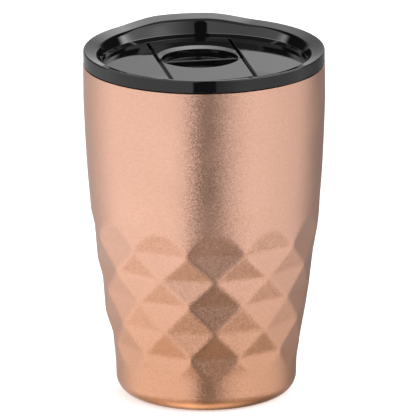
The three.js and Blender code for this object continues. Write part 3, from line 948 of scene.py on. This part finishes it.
def pressed_powder(graph, place_at):
    grains = graph.noise(place_at, 2500.0, 5.0)
    return {
        "Base Color": graph.blend(grains, (0.06, 0.058, 0.052, 1), (0.13, 0.125, 0.115, 1)),
        "Metallic": 0.2,
        "Roughness": 0.9,
        "Normal": graph.bump(grains, 0.0001, 0.8),
    }


def clear_silicone(graph, place_at):
    cloud = graph.noise(place_at, 200.0, 3.0)
    return {
        "Base Color": graph.blend(cloud, (0.62, 0.63, 0.60, 1), (0.72, 0.73, 0.71, 1)),
        "Roughness": graph.fade(cloud, 0.3, 0.7, 0.45, 0.6),
        "Transmission Weight": 0.35,
        "IOR": 1.41,
        "Normal": graph.bump(graph.noise(place_at, 1200.0), 0.00002, 0.4),
    }


def black_silicone(graph, place_at):
    texture = graph.noise(place_at, 1200.0, 4.0)
    return {
        "Base Color": graph.blend(texture, (0.012, 0.012, 0.012, 1), (0.024, 0.024, 0.025, 1)),
        "Roughness": graph.fade(texture, 0.3, 0.7, 0.55, 0.75),
        "Normal": graph.bump(texture, 0.00003, 0.5),
    }


def pale_floor(graph, place_at):
    """Matt and pale, with a faint glow of its own that keeps the shadow round the foot light."""
    mottle = graph.noise(place_at, 12.0, 3.0)
    return {
        "Base Color": graph.blend(mottle, (0.86, 0.86, 0.86, 1), (0.88, 0.88, 0.88, 1)),
        "Roughness": graph.fade(mottle, 0.3, 0.7, 0.75, 0.85),
        "Specular IOR Level": 0.1,
        "Emission Color": (1, 1, 1, 1),
        "Emission Strength": 0.4,
    }


# ---------- Light, floor and camera ----------


def front_boxes(graph, turn, rise, aside):
    """Left and right of the gap: dim below level and dark just over it, then a bright strip, and
    an even level above that. The right box is dimmer beside the gap."""
    left_edge = graph.math("ADD", GAP_TURNS[0], graph.math("MULTIPLY", rise, GAP_LEAN))
    before_edge = graph.math("SUBTRACT", left_edge, turn)
    past_edge = graph.math("SUBTRACT", turn, GAP_TURNS[1])
    left_box = graph.fade(before_edge, *GAP_EDGE)
    right_box = graph.product(graph.fade(past_edge, 0, 34, 0.45, 1.0), graph.fade(past_edge, *GAP_EDGE))
    boxes = graph.math("ADD", left_box, right_box)
    boxes = graph.product(boxes, graph.fade(aside, *FRONT_END, 1.0, 0.0))
    low = graph.product(graph.fade(rise, *HORIZON, 1.02, 0.12), graph.fade(turn, 20, 95, 1.0, 0.75))
    strip = graph.fade(rise, *STRIP_FOOT, 0.0, 4.2)
    high = graph.math("SUBTRACT", strip, graph.fade(rise, *STRIP_TOP, 0.0, 2.8))
    high = graph.product(high, graph.fade(rise, *FRONT_TOP, 1.0, 0.0))
    high = graph.product(high, graph.fade(turn, -30, 60, 0.85, 1.3))
    return graph.product(boxes, graph.math("ADD", low, high))


def low_sides(graph, turn, rise, aside):
    """Below level at the sides and behind, dimmer on the right."""
    left = graph.fade(turn, -150, -92, 0.5, 1.0)
    right = graph.fade(turn, 95, 140, 0.75, 0.22)
    sides = graph.blend(graph.fade(turn, -1, 1), left, right)
    return graph.product(sides, graph.fade(aside, *FRONT_END), graph.fade(rise, *HORIZON, 1.0, 0.0))


def wall_behind(graph, right, rise, aside):
    """Lightest straight behind the cup, and lighter again higher up."""
    low = graph.fade(right, -0.03, 0.03, 0.66, 0.96)
    low = graph.product(low, graph.fade(graph.math("ABSOLUTE", right), 0.03, 0.13, 1.0, 0.62))
    high = graph.fade(rise, *HIGH_WALL, 0.0, 2.5)
    high = graph.product(high, graph.fade(right, -0.12, 0.02, 0.45, 1.0))
    wall = graph.product(graph.math("ADD", low, high), graph.fade(aside, *WALL_START))
    return graph.product(wall, graph.fade(rise, *HORIZON), graph.fade(rise, *WALL_END, 1.0, 0.0))


def low_dimming(graph, turn, rise):
    """Low down it's darker, most of all on the right, and it's lighter again from straight below."""
    dimming = graph.fade(rise, -48, -28, graph.fade(turn, -40, 20, 0.54, 0.36), 1.0)
    return graph.math("ADD", dimming, graph.fade(rise, -76, -58, 1.0, 0.0))


def studio_light():
    """Light by direction: two front boxes with a dark gap between them, where the camera stands,
    a pale wall behind, a dim ceiling and a darker, warmer surround low down."""
    world = bpy.data.worlds.new("studio")
    bpy.context.scene.world = world
    world.use_nodes = True
    graph = Graph(world.node_tree)
    direction = graph.add("ShaderNodeTexCoord").outputs["Generated"]
    towards = (sin(CAMERA_AZIMUTH), -cos(CAMERA_AZIMUTH), 0)
    rightwards = (cos(CAMERA_AZIMUTH), sin(CAMERA_AZIMUTH), 0)
    ahead = graph.vector("DOT_PRODUCT", direction, towards)
    right = graph.vector("DOT_PRODUCT", direction, rightwards)
    up = graph.vector("DOT_PRODUCT", direction, (0, 0, 1))
    turn = graph.product(graph.math("ARCTAN2", right, ahead), degrees(1))
    rise = graph.product(graph.math("ARCSINE", up), degrees(1))
    aside = graph.math("ABSOLUTE", turn)

    front = front_boxes(graph, turn, rise, aside)
    sides = low_sides(graph, turn, rise, aside)
    wall = wall_behind(graph, right, rise, aside)
    ceiling = graph.fade(rise, *CEILING_START, 0.0, 0.4)
    # The gap itself is nearly dark, and lighter far down, where the light is also warmer.
    gap = graph.fade(rise, -36, -18, 0.26, 0.025)
    level = graph.math("ADD", graph.math("ADD", front, sides), graph.math("ADD", wall, ceiling))
    level = graph.product(graph.math("ADD", level, gap), low_dimming(graph, turn, rise))
    tint = graph.blend(graph.fade(rise, -55, -25), (1.0, 0.84, 0.64, 1), (1, 1, 1, 1))
    background = graph.add("ShaderNodeBackground", {"Color": tint, "Strength": level})
    graph.add("ShaderNodeOutputWorld", {"Surface": background.outputs[0]})


def floor():
    half = 8.0
    corners = [(-half, -half, 0), (half, -half, 0), (half, half, 0), (-half, half, 0)]
    plane = new_object("floor", corners, [(0, 1, 2, 3)])
    plane.data.materials.append(surface("pale floor", pale_floor))
    # The low light that the gloss shows comes from the surround, and not from the floor.
    plane.visible_glossy = False


def camera():
    data = bpy.data.cameras.new("camera")
    eye = bpy.data.objects.new("camera", data)
    bpy.context.scene.collection.objects.link(eye)
    back = Vector(
        (
            sin(CAMERA_AZIMUTH) * cos(CAMERA_ELEVATION),
            -cos(CAMERA_AZIMUTH) * cos(CAMERA_ELEVATION),
            sin(CAMERA_ELEVATION),
        )
    )
    eye.location = Vector((0, 0, AIM_Z)) + back * CAMERA_DISTANCE
    turn = back.to_track_quat("Z", "Y").to_matrix().to_4x4()
    eye.rotation_euler = (turn @ Matrix.Rotation(CAMERA_ROLL, 4, "Z")).to_euler()
    data.lens = CAMERA_LENS
    data.sensor_width = 36
    data.shift_x = CAMERA_SHIFT
    bpy.context.scene.camera = eye


# ---------- Assembly ----------

copper = surface("copper paint", copper_paint)
black = surface("gloss black", gloss_black)
steel = surface("brushed steel", brushed_steel)

place(outer_shell(), "outer_shell", copper, sharp=50)
place(inner_liner(), "inner_liner", steel)
place(radiation_foil(), "radiation_foil", surface("foil", creased_foil))
place(closing_plate(), "closing_plate", steel)
place(solder_bead(), "solder_bead", surface("glass solder", fused_glass))
place(getter_holder(), "getter_holder", steel)
place(getter_pellet(), "getter_pellet", surface("getter", pressed_powder))
place(base_cover(), "base_cover", steel)
place(lid_shell(), "lid_shell", black)
place(lid_plug(), "lid_plug", black)
place(lid_gasket(), "lid_gasket", surface("clear silicone", clear_silicone))
place(slider(), "slider", black)
place(slider_seal(), "slider_seal", surface("black silicone", black_silicone))

studio_light()
floor()
camera()
bpy.context.scene.view_settings.view_transform = "Standard"
